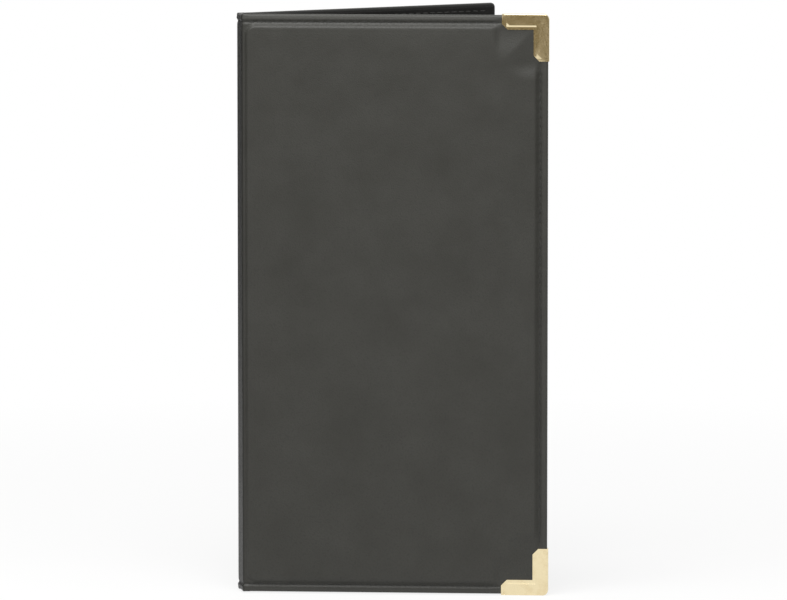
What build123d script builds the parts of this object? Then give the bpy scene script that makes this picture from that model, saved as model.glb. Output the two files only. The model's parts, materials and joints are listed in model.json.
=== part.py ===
from build123d import *
from math import atan2, cos, degrees, hypot, radians, sin
import os

# A padded leatherette folder for a guest check: two covers hinged at the creases of a narrow spine,
# standing open on its foot. +Z is up, the spine is at -X and the front cover is on the -Y side.
# Sizes are in millimetres and angles in degrees.

# Covers
cover_width = 133.35  # from crease to fore-edge
cover_height = 254.0  # from foot to head
cover_corner = 2.0  # radius of a cover's two free corners
rest_opening = 36.6  # angle between the covers as the folder stands

# Sheets
leatherette = 0.7
board_thickness = 1.6
spine_card_thickness = 1.0
lining = 0.4
pocket_sheet = 0.4
turn_in = 10.0  # width of the leatherette folded over onto the inside
fold_radius = 0.55  # outer radius of that fold
lining_inset = 1.5  # from the rim of a cover to the rim of its lining
ledge_corner = 2.0  # corner radius of the sunk middle of a lining

# Padding
pad_start = 1.8  # from the crease to the foam
pad_hem = 4.6  # from the rim of a cover to the foam
pad_edge = 1.1  # height of the foam at its shoulders
pad_crown = 0.4  # how much higher the foam is in the middle
pad_slope = 44.0  # steepness of its sides
pad_shoulder = 2.4  # radius at which the sheet rounds the foam's cut edge
pad_corner = 4.5  # plan radius of its corners

# Creases
crease_gap = 0.3  # between the rounded end of the spine's sheet and a cover's sheet
fold_clearance = 0.3  # between the two hinge strips when a cover is closed
hinge_room = 0.6  # between the spine's inside and a cover's hinge strip when the cover is closed
closed_clearance = 0.4  # between the two insides when the folder is closed

# Brass corners
metal_sheet = 0.45
metal_leg = 20.6  # length of each leg, from the outer corner
metal_arm = 6.8  # width of each leg
metal_bevel = 2.5  # cut across the inner end of each leg
metal_drop = 0.3  # depth of the slope pressed along the inner edge
metal_slope = 1.2  # width of that slope
metal_bend = 0.4  # outer radius of the folds
metal_clearance = 0.3  # from the brass to the padding and to the seam

# Seams
stitch_inset = 3.4  # from the rim of a cover to its seam
stitch_pitch = 3.8
stitch_length = 2.8
thread_width = 0.5
thread_rise = 0.2

# Pockets
bill_pocket_height = 108.0  # from the foot of the cover
check_pocket_height = 132.0
thumb_notch = 13.0  # radius of the notch in the mouth of the check pocket
card_pocket_width = 97.0
card_pocket_height = 58.0
card_pocket_foot = 15.0  # from the foot of the cover to the card pocket
card_pocket_margin = 4.0  # flat border that is sewn down
card_pocket_edge = 0.3  # bevel along the raised middle
card_room = 0.8  # depth inside, for a plastic card
pocket_seam_inset = 2.2  # from the rim of a pocket to its seam

# Levels of a cover, measured outwards from the middle of its outer sheet
skin_face = leatherette / 2
board_face = -leatherette / 2
board_back = board_face - board_thickness
turn_in_back = board_back - leatherette
lining_back = board_back - lining
hem_back = turn_in_back - lining
pocket_face = hem_back - pocket_sheet
card_margin_face = pocket_face - pocket_sheet
card_face = pocket_face - card_room - pocket_sheet

# The spine is as wide as the two closed insides need
spine_width = 2 * thread_rise - card_face - pocket_face + closed_clearance

# Levels and places of the spine
spine_card_back = board_face - spine_card_thickness
spine_back = spine_card_back - leatherette
spine_strip_start = leatherette - board_face + fold_clearance  # from the crease
spine_strip_width = spine_width - 2 * spine_strip_start
spine_card_width = spine_strip_width - 2 * leatherette

# Places along a cover, measured from the crease
skin_start = skin_face + crease_gap
strip_start = hinge_room - spine_back
board_start = strip_start + leatherette
lining_start = strip_start + lining_inset
ledge_start = strip_start + turn_in
ledge_end = cover_width - turn_in
lining_end = cover_width - lining_inset

# Half heights
half_cover = cover_height / 2
half_board = half_cover - leatherette
half_lining = half_cover - lining_inset
half_ledge = half_cover - turn_in
seam_y = half_cover - stitch_inset
seam_x = cover_width - stitch_inset
metal_reach = metal_leg - metal_sheet + metal_clearance  # of a brass corner, from the cover's corner

# Where the folder stands, so that the origin is on its foot under its middle
half_opening = rest_opening / 2
cos_half = cos(radians(half_opening))
sin_half = sin(radians(half_opening))
reach = (cover_width + metal_sheet) * cos_half + (metal_sheet - hem_back) * sin_half
crease_x = (skin_face - reach) / 2
middle_z = metal_sheet + half_cover

# One plane for each cover and one for the spine: x runs along the sheet and z points outwards
front = Plane(
    origin=(crease_x, -spine_width / 2, middle_z),
    x_dir=(cos_half, -sin_half, 0),
    z_dir=(-sin_half, -cos_half, 0),
)
back = Plane(
    origin=(crease_x, spine_width / 2, middle_z),
    x_dir=(cos_half, sin_half, 0),
    z_dir=(-sin_half, cos_half, 0),
)
spine = Plane(origin=(crease_x, 0, middle_z), x_dir=(0, -1, 0), z_dir=(-1, 0, 0))

# The side of each cover's plane on which its foot lies
front_foot = -1
back_foot = 1


def outwards(plane):
    """The axis that points out of a cover."""
    return Axis(plane.origin, plane.z_dir)


def along(plane):
    """The axis that runs from the crease to the fore-edge of a cover."""
    return Axis(plane.origin, plane.x_dir)


def rectangle(x_low, x_high, y_low, y_high, mode=Mode.ADD):
    """A rectangle between two x and two y places of the open sketch."""
    with Locations(((x_low + x_high) / 2, (y_low + y_high) / 2)):
        Rectangle(x_high - x_low, abs(y_high - y_low), mode=mode)


def metal_footprint(side, leg, arm):
    """The two legs that a brass corner covers, drawn from a cover's corner."""
    towards = Align.MAX if side > 0 else Align.MIN
    with Locations((cover_width, side * half_cover)):
        Rectangle(leg, arm, align=(Align.MAX, towards))
        Rectangle(arm, leg, align=(Align.MAX, towards))


def padding(plane, growth, metal_sides):
    """A cover's crowned foam with its cut edges, or the rounded outside of the sheet growth above it."""
    spread = growth / sin(radians(pad_slope))
    x_low = pad_start - spread
    x_high = cover_width - pad_hem + spread
    half_pad = half_cover - pad_hem + spread
    shoulder = board_face + pad_edge + growth
    section = Plane(origin=plane.origin, x_dir=plane.x_dir, z_dir=-plane.y_dir)
    with BuildPart() as pad:
        with BuildSketch(plane.offset(board_face)) as foot_print:
            rectangle(x_low, x_high, -half_pad, half_pad)
            fillet(foot_print.vertices(), pad_corner + spread)
        extrude(amount=pad_edge + 2 * pad_crown + growth, taper=90 - pad_slope)
        with BuildSketch(section):
            with BuildLine():
                middle = ((x_low + x_high) / 2, shoulder + pad_crown)
                crown = ThreePointArc((x_low, shoulder), middle, (x_high, shoulder))
                Polyline(crown @ 1, (x_high, board_face), (x_low, board_face), crown @ 0)
            make_face()
        extrude(amount=half_pad, both=True, mode=Mode.INTERSECT)
        if growth:
            fillet(pad.faces().sort_by(outwards(plane))[-1].edges(), pad_shoulder)
        for side in metal_sides:
            # The brass presses the padding flat beside it
            room = leatherette - growth
            with BuildSketch(plane.offset(board_face)):
                metal_footprint(side, metal_reach + room, metal_reach - metal_leg + metal_arm + room)
            extrude(amount=pad_edge + pad_crown + growth, mode=Mode.SUBTRACT)
    return pad


def board(plane):
    """The stiff board of a cover."""
    with BuildPart() as piece:
        with BuildSketch(plane.offset(board_face)) as sheet:
            rectangle(board_start, cover_width - leatherette, -half_board, half_board)
            fillet(sheet.vertices().group_by(Axis.X)[-1], cover_corner - leatherette)
        extrude(amount=-board_thickness)
    return piece


def outer_sheet(plane, pad, foam):
    """The leatherette of a cover: stretched over the foam and folded round the board on three sides."""
    with BuildPart() as piece:
        with BuildSketch(plane.offset(skin_face)) as wrap:
            rectangle(strip_start, cover_width, -half_cover, half_cover)
            fillet(wrap.vertices().group_by(Axis.X)[-1], cover_corner)
        extrude(amount=turn_in_back - skin_face)
        faces = piece.faces().sort_by(outwards(plane))
        for face in (faces[0], faces[-1]):
            fillet(face.edges().sort_by(along(plane))[1:], fold_radius)
        with BuildSketch(plane.offset(board_face)) as board_room:
            rectangle(strip_start, cover_width - leatherette, -half_board, half_board)
            fillet(board_room.vertices().group_by(Axis.X)[-1], cover_corner - leatherette)
        extrude(amount=-board_thickness, mode=Mode.SUBTRACT)
        with BuildSketch(plane.offset(board_back)):
            rectangle(strip_start, ledge_end, -half_ledge, half_ledge)
            rectangle(strip_start, board_start, -half_board, half_board)
        extrude(amount=-leatherette, mode=Mode.SUBTRACT)
        with BuildSketch(plane.offset(skin_face)):
            rectangle(skin_start, board_start, -half_cover, half_cover)
        extrude(amount=-leatherette)
        add(pad.part)
        add(foam.part, mode=Mode.SUBTRACT)
    return piece


def cover_hinge_strip(plane):
    """The strip inside a crease: against the outer sheet, round the board's end and onto its inside."""
    with BuildPart() as piece:
        with BuildSketch(plane.offset(board_face)):
            rectangle(skin_start, board_start, -half_lining, half_lining)
        extrude(amount=-leatherette)
        with BuildSketch(plane.offset(board_face)):
            rectangle(strip_start, board_start, -half_lining, half_lining)
        extrude(amount=turn_in_back - board_face)
        with BuildSketch(plane.offset(board_back)):
            rectangle(strip_start, ledge_start, -half_ledge, half_ledge)
        extrude(amount=-leatherette)
    return piece


def lining_panel(plane):
    """The lining: over the turned-in rim, and sunk onto the board in the middle."""
    with BuildPart() as piece:
        with BuildSketch(plane.offset(board_back)):
            rectangle(lining_start, lining_end, -half_lining, half_lining)
        extrude(amount=hem_back - board_back)
        with BuildSketch(plane.offset(board_back)) as rim:
            rectangle(lining_start, lining_end, -half_lining, half_lining)
            rectangle(ledge_start, ledge_end, -half_ledge, half_ledge, mode=Mode.SUBTRACT)
            inner = rim.vertices().filter_by_position(Axis.X, ledge_start, ledge_end)
            fillet(inner.filter_by_position(Axis.Y, -half_ledge, half_ledge), ledge_corner)
        extrude(amount=-leatherette, mode=Mode.SUBTRACT)
        with BuildSketch(plane.offset(lining_back)) as sunk:
            half_sunk = half_ledge - lining
            rectangle(ledge_start + lining, ledge_end - lining, -half_sunk, half_sunk)
            fillet(sunk.vertices(), ledge_corner - lining)
        extrude(amount=hem_back - lining_back, mode=Mode.SUBTRACT)
    return piece


def wide_pocket(plane, foot, height, notch=0.0):
    """A pocket as wide as the lining, open towards the head, with a notch for the thumb if asked."""
    mouth = foot * (half_cover - height)
    with BuildPart() as piece:
        with BuildSketch(plane.offset(hem_back)):
            rectangle(lining_start, lining_end, foot * half_lining, mouth)
            if notch:
                with Locations(((lining_start + lining_end) / 2, mouth)):
                    Circle(notch, mode=Mode.SUBTRACT)
        extrude(amount=-pocket_sheet)
    return piece


def stitches(plane, level, side, rows):
    """Rows of dashes of thread on one face, each row from one point of the face to another."""
    gap = stitch_pitch - stitch_length
    with BuildSketch(plane.offset(level)) as dashes:
        for (x_a, y_a), (x_b, y_b) in rows:
            run = hypot(x_b - x_a, y_b - y_a) - gap
            turn = degrees(atan2(y_b - y_a, x_b - x_a))
            with Locations(Location(((x_a + x_b) / 2, (y_a + y_b) / 2, 0), (0, 0, turn))):
                with GridLocations(stitch_pitch, stitch_pitch, int(run // stitch_pitch), 1):
                    Rectangle(stitch_length, thread_width)
    extrude(dashes.sketch, amount=side * thread_rise)


def seam(plane, foot, pocket_height, corner_x, corner_y):
    """The seam round a cover, on its outside and on its inside, as far as corner_x and corner_y."""
    head_y = -foot * seam_y
    foot_y = foot * seam_y
    mouth_y = foot * (half_cover - pocket_height)
    head_row = ((skin_start, head_y), (corner_x, head_y))
    foot_row = ((skin_start, foot_y), (corner_x, foot_y))
    fore_row = ((seam_x, -corner_y), (seam_x, corner_y))
    inner_head_row = ((lining_start, head_y), (corner_x, head_y))
    inner_foot_row = ((lining_start, foot_y), (corner_x, foot_y))
    lining_row = ((seam_x, mouth_y), (seam_x, -foot * corner_y))
    pocket_row = ((seam_x, mouth_y), (seam_x, foot * corner_y))
    with BuildPart() as piece:
        stitches(plane, skin_face, 1, [head_row, foot_row, fore_row])
        stitches(plane, hem_back, -1, [inner_head_row, lining_row])
        stitches(plane, pocket_face, -1, [inner_foot_row, pocket_row])
    return piece


def metal_corner(side, grip_back):
    """A corner folded from brass sheet round the head or foot of the front fore-edge, back to grip_back."""

    def place(from_edge, from_end):
        return (cover_width + metal_sheet - from_edge, side * (half_cover + metal_sheet - from_end))

    def on_rim(edge):
        centre = front.to_local_coords(edge.center())
        return max(centre.X - cover_width, abs(centre.Y) - half_cover) > -cover_corner / 2

    short_arm = metal_arm - metal_bevel
    short_leg = metal_leg - metal_bevel
    with BuildPart() as piece:
        with BuildSketch(front.offset(skin_face + metal_sheet)) as legs:
            with BuildLine():
                Polyline(
                    place(0, 0),
                    place(metal_leg, 0),
                    place(metal_leg, short_arm),
                    place(short_leg, metal_arm),
                    place(metal_arm, metal_arm),
                    place(metal_arm, short_leg),
                    place(short_arm, metal_leg),
                    place(0, metal_leg),
                    close=True,
                )
            make_face()
            fillet(legs.vertices().sort_by_distance(place(0, 0))[0], cover_corner + metal_sheet)
        extrude(amount=grip_back - skin_face - 2 * metal_sheet)
        faces = piece.faces().sort_by(outwards(front))
        slope_edges = [edge for edge in faces[-1].edges() if not on_rim(edge)]
        chamfer(slope_edges, metal_slope, metal_drop, reference=faces[-1])
        faces = piece.faces().sort_by(outwards(front))
        folds = [edge for face in (faces[0], faces[-1]) for edge in face.edges() if on_rim(edge)]
        fillet(folds, metal_bend)
        with BuildSketch(front.offset(skin_face)) as slot:
            rectangle(cover_width - metal_leg, cover_width, side * (half_cover - metal_leg), side * half_cover)
            fillet(slot.vertices().sort_by_distance(place(0, 0))[0], cover_corner)
        extrude(amount=grip_back - skin_face, mode=Mode.SUBTRACT)
    return piece


def finish(piece, name):
    """Labels a finished piece and writes its file."""
    piece.part.label = name
    export_step(piece.part, f"parts/{name}.step")


os.makedirs("parts", exist_ok=True)

# Front cover
front_padding = padding(front, 0.0, (-1, 1))
front_pad_outside = padding(front, leatherette, (-1, 1))
finish(front_padding, "front_padding")
finish(outer_sheet(front, front_pad_outside, front_padding), "front_leatherette")
finish(board(front), "front_board")
finish(cover_hinge_strip(front), "front_hinge_strip")
finish(lining_panel(front), "front_lining")
finish(wide_pocket(front, front_foot, bill_pocket_height), "front_bill_pocket")
front_seam = seam(front, front_foot, bill_pocket_height, cover_width - metal_reach, half_cover - metal_reach)
finish(front_seam, "front_seam")
finish(metal_corner(1, hem_back), "head_corner")
finish(metal_corner(-1, pocket_face), "foot_corner")

# Card pocket, sewn onto the bill pocket
card_x = (lining_start + lining_end) / 2
card_low = card_x - card_pocket_width / 2
card_high = card_x + card_pocket_width / 2
card_foot_y = front_foot * (half_cover - card_pocket_foot)
card_mouth_y = card_foot_y - front_foot * card_pocket_height
card_raise_y = card_foot_y - front_foot * card_pocket_margin
card_room_y = card_raise_y - front_foot * pocket_sheet
with BuildPart() as front_card_pocket:
    with BuildSketch(front.offset(pocket_face)):
        rectangle(card_low, card_high, card_foot_y, card_mouth_y)
    extrude(amount=-pocket_sheet)
    with BuildSketch(front.offset(pocket_face)):
        rectangle(card_low + card_pocket_margin, card_high - card_pocket_margin, card_raise_y, card_mouth_y)
    extrude(amount=card_face - pocket_face)
    raised = front_card_pocket.faces().sort_by(outwards(front))[0]
    upright = Axis(front.origin, front.y_dir * -front_foot)
    chamfer(raised.edges().sort_by(upright)[:-1], card_pocket_edge)
    with BuildSketch(front.offset(pocket_face)):
        card_inset = card_pocket_margin + pocket_sheet
        rectangle(card_low + card_inset, card_high - card_inset, card_room_y, card_mouth_y)
    extrude(amount=-card_room, mode=Mode.SUBTRACT)
finish(front_card_pocket, "front_card_pocket")

# Threads of the front pockets
card_seam_low = card_low + pocket_seam_inset
card_seam_high = card_high - pocket_seam_inset
card_seam_y = card_foot_y - front_foot * pocket_seam_inset
bill_mouth_y = front_foot * (half_cover - bill_pocket_height)
bill_seam_y = bill_mouth_y + front_foot * pocket_seam_inset
crease_seam_x = lining_start + pocket_seam_inset
with BuildPart() as front_pocket_threads:
    stitches(
        front,
        card_margin_face,
        -1,
        [
            ((card_seam_low, card_seam_y), (card_seam_low, card_mouth_y)),
            ((card_seam_low, card_seam_y), (card_seam_high, card_seam_y)),
            ((card_seam_high, card_seam_y), (card_seam_high, card_mouth_y)),
        ],
    )
    stitches(
        front,
        pocket_face,
        -1,
        [
            ((crease_seam_x, front_foot * seam_y), (crease_seam_x, bill_seam_y)),
            ((crease_seam_x, bill_seam_y), (seam_x, bill_seam_y)),
        ],
    )
finish(front_pocket_threads, "front_pocket_threads")

# Back cover
back_padding = padding(back, 0.0, ())
back_pad_outside = padding(back, leatherette, ())
finish(back_padding, "back_padding")
finish(outer_sheet(back, back_pad_outside, back_padding), "back_leatherette")
finish(board(back), "back_board")
finish(cover_hinge_strip(back), "back_hinge_strip")
finish(lining_panel(back), "back_lining")
finish(wide_pocket(back, back_foot, check_pocket_height, thumb_notch), "back_check_pocket")
finish(seam(back, back_foot, check_pocket_height, seam_x, seam_y), "back_seam")

# Threads of the check pocket, which stop at the thumb notch
check_mouth_y = back_foot * (half_cover - check_pocket_height)
check_seam_y = check_mouth_y + back_foot * pocket_seam_inset
notch_edge = thumb_notch + pocket_seam_inset
with BuildPart() as back_pocket_threads:
    stitches(
        back,
        pocket_face,
        -1,
        [
            ((crease_seam_x, back_foot * seam_y), (crease_seam_x, check_seam_y)),
            ((crease_seam_x, check_seam_y), (card_x - notch_edge, check_seam_y)),
            ((card_x + notch_edge, check_seam_y), (seam_x, check_seam_y)),
        ],
    )
finish(back_pocket_threads, "back_pocket_threads")

# Spine: its sheet ends in a round at each crease, and is folded in at head and foot
with BuildPart() as spine_leatherette:
    with BuildSketch(Plane.XY.offset(middle_z - half_cover)):
        with Locations((crease_x, 0)):
            SlotCenterToCenter(spine_width, leatherette, rotation=90)
    extrude(amount=cover_height)
    for y_rim in (-half_cover, half_cover):
        y_fold = y_rim - leatherette if y_rim > 0 else y_rim + leatherette
        y_flap = y_rim - turn_in if y_rim > 0 else y_rim + turn_in
        with BuildSketch(spine.offset(board_face)):
            rectangle(-spine_strip_width / 2, spine_strip_width / 2, y_fold, y_rim)
        extrude(amount=spine_back - board_face)
        with BuildSketch(spine.offset(spine_card_back)):
            rectangle(-spine_strip_width / 2, spine_strip_width / 2, y_flap, y_rim)
        extrude(amount=-leatherette)
finish(spine_leatherette, "spine_leatherette")

with BuildPart() as spine_card:
    with BuildSketch(spine.offset(board_face)):
        Rectangle(spine_card_width, 2 * half_board)
    extrude(amount=-spine_card_thickness)
finish(spine_card, "spine_card")

with BuildPart() as spine_hinge_strip:
    with BuildSketch(spine.offset(board_face)):
        Rectangle(spine_strip_width, 2 * half_ledge)
    extrude(amount=spine_back - board_face)
    with BuildSketch(spine.offset(board_face)):
        Rectangle(spine_card_width, 2 * half_ledge)
    extrude(amount=-spine_card_thickness, mode=Mode.SUBTRACT)
finish(spine_hinge_strip, "spine_hinge_strip")

with BuildPart() as spine_seam:
    half_spine = spine_width / 2
    half_strip = spine_strip_width / 2
    outer_rows = [((-half_spine, y), (half_spine, y)) for y in (-seam_y, seam_y)]
    inner_rows = [((-half_strip, y), (half_strip, y)) for y in (-seam_y, seam_y)]
    stitches(spine, skin_face, 1, outer_rows)
    stitches(spine, spine_back, -1, inner_rows)
finish(spine_seam, "spine_seam")
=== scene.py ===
import json
from math import cos, pi, radians, sin, sqrt, tan

import bmesh
import bpy
import numpy as np
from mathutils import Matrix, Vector, noise


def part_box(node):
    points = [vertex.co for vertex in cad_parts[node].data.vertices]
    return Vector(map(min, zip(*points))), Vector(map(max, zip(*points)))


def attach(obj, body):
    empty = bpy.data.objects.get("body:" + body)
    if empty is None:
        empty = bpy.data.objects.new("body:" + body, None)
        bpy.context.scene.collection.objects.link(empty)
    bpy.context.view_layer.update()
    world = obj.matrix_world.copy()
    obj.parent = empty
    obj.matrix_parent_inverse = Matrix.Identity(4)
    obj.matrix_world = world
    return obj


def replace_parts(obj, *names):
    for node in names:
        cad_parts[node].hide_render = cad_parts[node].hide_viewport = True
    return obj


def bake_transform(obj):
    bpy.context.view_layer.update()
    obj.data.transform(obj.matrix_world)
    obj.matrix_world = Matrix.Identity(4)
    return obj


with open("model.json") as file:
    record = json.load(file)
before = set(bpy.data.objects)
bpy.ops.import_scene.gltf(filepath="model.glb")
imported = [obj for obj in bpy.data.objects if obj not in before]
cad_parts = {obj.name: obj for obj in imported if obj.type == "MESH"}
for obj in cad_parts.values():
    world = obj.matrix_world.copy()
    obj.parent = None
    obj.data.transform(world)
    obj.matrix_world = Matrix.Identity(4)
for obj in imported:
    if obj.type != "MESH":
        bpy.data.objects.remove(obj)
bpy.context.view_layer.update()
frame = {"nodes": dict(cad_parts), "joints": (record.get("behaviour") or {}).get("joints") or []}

scene = bpy.context.scene
mm = 0.001  # the dictionaries hold millimetres, the meshes metres
uvSpan = 300.0  # how much of a sheet a UV map's unit square holds
uvMargin = 12.0  # keeps what is turned in inside the map

# where the frame puts the two creases, and how far the covers stand open
creases = {joint["name"]: joint for joint in frame["joints"]}
frontCrease = creases["front_crease"]
creaseX = frontCrease["pos_m"][0] / mm
spineHalf = -frontCrease["pos_m"][1] / mm
halfOpening = radians(-frontCrease["range_deg"][0])
cosHalf, sinHalf = cos(halfOpening), sin(halfOpening)
coverLow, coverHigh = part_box("front_leatherette")
coverHalf = (coverHigh.z - coverLow.z) / 2 / mm
middleZ = (coverHigh.z + coverLow.z) / 2 / mm

sheets = {
    "coverWidth": 133.35,  # from crease to fore-edge
    "corner": 2.0,  # radius of the covers' free corners
    "skin": 0.7,
    "board": 1.6,
    "lining": 0.4,
    "pocket": 0.4,
    "spineCard": 1.0,
    "liningInset": 1.5,
    "turnIn": 10.0,
    "stripStart": 2.65,  # from the crease to the board's wrapped end
}
coverWidth = sheets["coverWidth"]
skinFace = sheets["skin"] / 2
turnInBack = -skinFace - sheets["board"] - sheets["skin"]
liningBack = -skinFace - sheets["board"] - sheets["lining"]
liningFace = turnInBack - sheets["lining"]
pocketFace = liningFace - sheets["pocket"]
spineBack = -skinFace - sheets["spineCard"] - sheets["skin"]
liningStart = sheets["stripStart"] + sheets["liningInset"]
liningEnd = coverWidth - sheets["liningInset"]
liningHalf = coverHalf - sheets["liningInset"]
front, back = -1, 1  # the sign of Y on each cover's side


# u runs from the crease to the fore-edge, v up from the middle, w out of the cover
def placeOnCover(side, u, v, w):
    x = creaseX + u * cosHalf - w * sinHalf
    y = side * (spineHalf + u * sinHalf + w * cosHalf)
    return np.stack([x, y, middleZ + v], -1) * mm


# q runs from the spine's middle towards one crease
def placeOnSpine(side, q, v, w):
    return np.stack(np.broadcast_arrays(creaseX - w, side * q, middleZ + v), -1) * mm


def wordOf(side):
    return "front" if side == front else "back"


def bodyOf(side):
    return wordOf(side) + "_cover"


# places along one side of a grid, from (place, step that leads up to it) pairs
def lines(*stops):
    found = [np.array([stops[0]])]
    at = stops[0]
    for place, step in stops[1:]:
        count = max(1, round((place - at) / step))
        found.append(np.linspace(at, place, count + 1)[1:])
        at = place
    return np.concatenate(found)


def smooth(t):
    t = np.clip(t, 0, 1)
    return t * t * (3 - 2 * t)


# how far a point lies inside a rounded rectangle
def insideRounded(u, v, uLow, uHigh, vHalf, radius):
    pu = np.abs(u - (uLow + uHigh) / 2) - (uHigh - uLow) / 2 + radius
    pv = np.abs(v) - vHalf + radius
    outside = np.hypot(np.maximum(pu, 0), np.maximum(pv, 0))
    return radius - outside - np.minimum(np.maximum(pu, pv), 0)


# smooth noise from -1 to 1 over a sheet, with waves of one size
def waves(u, v, size, seed):
    shift = Vector((seed * 13.7, seed * 5.3, 0))
    places = zip(u.ravel(), v.ravel())
    return np.array([noise.noise(Vector((*place, 0)) / size + shift) for place in places]).reshape(u.shape)


def sheetUv(u, v):
    return np.stack(np.broadcast_arrays(u + uvMargin, v + coverHalf + uvMargin), -1)


def gridFaces(rows, columns, flip):
    index = np.arange(rows * columns).reshape(rows, columns)
    quads = np.stack([index[:-1, :-1], index[1:, :-1], index[1:, 1:], index[:-1, 1:]], -1).reshape(-1, 4)
    return quads[:, ::-1] if flip else quads


def addObject(name, data):
    added = bpy.data.objects.new(name, data)
    scene.collection.objects.link(added)
    return added


# a smooth mesh object, with a UV map in millimetres over uvSpan and vertex values by name
def newPiece(name, points, faces, material, uv=None, values=None):
    mesh = bpy.data.meshes.new(name)
    mesh.from_pydata(np.asarray(points).reshape(-1, 3).tolist(), [], np.asarray(faces).tolist())
    mesh.polygons.foreach_set("use_smooth", [True] * len(mesh.polygons))
    if uv is not None:
        corners = np.zeros(len(mesh.loops), np.int32)
        mesh.loops.foreach_get("vertex_index", corners)
        layer = mesh.uv_layers.new(name="sheet")
        layer.data.foreach_set("uv", (np.asarray(uv).reshape(-1, 2) / uvSpan)[corners].ravel())
    for key, value in (values or {}).items():
        mesh.attributes.new(key, "FLOAT", "POINT").data.foreach_set("value", np.asarray(value).ravel())
    mesh.materials.append(material)
    return addObject(name, mesh)


def solidify(piece, thickness):
    wall = piece.modifiers.new("thickness", "SOLIDIFY")
    wall.thickness = thickness * mm
    wall.offset = -1


def newMaterial(name):
    material = bpy.data.materials.new(name)
    material.use_nodes = True
    tree = material.node_tree
    return material, tree, tree.nodes["Principled BSDF"]


# inputs may be plain values or other nodes' outputs
def feed(tree, node, inputs):
    for key, value in inputs.items():
        if isinstance(value, bpy.types.NodeSocket):
            tree.links.new(value, node.inputs[key])
        else:
            node.inputs[key].default_value = value


def addNode(tree, kind, inputs=None, out=0, **settings):
    node = tree.nodes.new(kind)
    for key, value in settings.items():
        setattr(node, key, value)
    feed(tree, node, inputs or {})
    return node.outputs[out]


def mathNode(tree, kind, a, b=0.0):
    return addNode(tree, "ShaderNodeMath", {0: a, 1: b}, operation=kind)


def scaled(tree, vector, factor):
    return addNode(tree, "ShaderNodeVectorMath", {0: vector, 1: (factor,) * 3}, operation="MULTIPLY")


# the piece's own UV map, turned back into millimetres
def sheetPlace(tree):
    return scaled(tree, addNode(tree, "ShaderNodeUVMap", uv_map="sheet"), uvSpan)


# Object coordinates in millimetres
def objectPlace(tree):
    return scaled(tree, addNode(tree, "ShaderNodeTexCoord", out="Object"), 1 / mm)


def noiseNode(tree, place, size, detail=3.0, rough=0.55):
    inputs = {"Vector": place, "Scale": 1 / size, "Detail": detail, "Roughness": rough}
    return addNode(tree, "ShaderNodeTexNoise", inputs, "Fac")


def remap(tree, value, low, high, toLow, toHigh):
    return addNode(tree, "ShaderNodeMapRange", dict(enumerate((value, low, high, toLow, toHigh))))


def mixColour(tree, factor, a, b):
    a, b = ((*value, 1) if isinstance(value, tuple) else value for value in (a, b))
    return addNode(tree, "ShaderNodeMix", {"Factor": factor, "A": a, "B": b}, "Result", data_type="RGBA")


def attribute(tree, name, out="Fac"):
    return addNode(tree, "ShaderNodeAttribute", out=out, attribute_name=name)


def bumped(tree, height, strength, distance):
    return addNode(tree, "ShaderNodeBump",
                   {"Strength": strength, "Distance": distance * mm, "Height": height}, "Normal")


# what all the leatherettes share
grain = {
    "warpScale": 0.9,
    "warp": 0.5,  # how far the pebbles are bent out of their regular places
    "fine": 0.35,  # height of the fine grain against the pebbles
    "valleys": (0.35, 0.75),  # from where to where in a pebble the valley beside it deepens
    "cloudRange": (0.3, 0.7),
    "rubbed": (0.3, 1.0),  # least and most wear in the fine grain
    "roughSpread": (0.04, 0.05),
    "valleyRough": 0.4,
    "height": 0.12,
}


# coated cloth with a fine pebble grain, cloudy colour, rims that are rubbed lighter, and painted shade
# towards the inside colour where a piece marks it
def leatherette(name, look):
    material, tree, shader = newMaterial(name)
    place = sheetPlace(tree)
    warp = addNode(tree, "ShaderNodeTexNoise",
                   {"Vector": place, "Scale": grain["warpScale"], "Detail": 2.0}, "Color")
    bent = addNode(tree, "ShaderNodeVectorMath", {0: warp, 1: (grain["warp"],) * 3, 2: place},
                   operation="MULTIPLY_ADD")
    pebbles = addNode(tree, "ShaderNodeTexVoronoi", {"Vector": bent, "Scale": 1 / look["pebble"]}, "Distance",
                      feature="SMOOTH_F1")
    fine = noiseNode(tree, place, look["pebble"] / 3)
    clouds = noiseNode(tree, place, look["clouds"], 4.0, 0.6)
    height = mathNode(tree, "ADD", mathNode(tree, "MULTIPLY", pebbles, -1.0),
                      mathNode(tree, "MULTIPLY", fine, grain["fine"]))
    colour = mixColour(tree, remap(tree, clouds, *grain["cloudRange"], 0, 1), look["dark"], look["light"])
    valley = remap(tree, pebbles, *grain["valleys"], 0, look["valley"])
    colour = mixColour(tree, valley, colour, look["deep"])
    worn = mathNode(tree, "MULTIPLY", attribute(tree, "wear"),
                    remap(tree, fine, 0.35, 0.65, *grain["rubbed"]))
    colour = mixColour(tree, worn, colour, look["worn"])
    # painted shade: darker towards the inside colour on the spine and on the inner side of the rim's fold
    colour = mixColour(tree, attribute(tree, "paintedShade"), colour, look["inside"])
    smoother, rougher = grain["roughSpread"]
    rough = remap(tree, clouds, *grain["cloudRange"], look["rough"] - smoother, look["rough"] + rougher)
    rough = mathNode(tree, "ADD", rough, mathNode(tree, "MULTIPLY", valley, grain["valleyRough"]))
    feed(tree, shader, {"Base Color": colour, "Roughness": rough, "Specular IOR Level": look["specular"],
                        "Normal": bumped(tree, height, look["bump"], grain["height"])})
    return material


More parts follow.
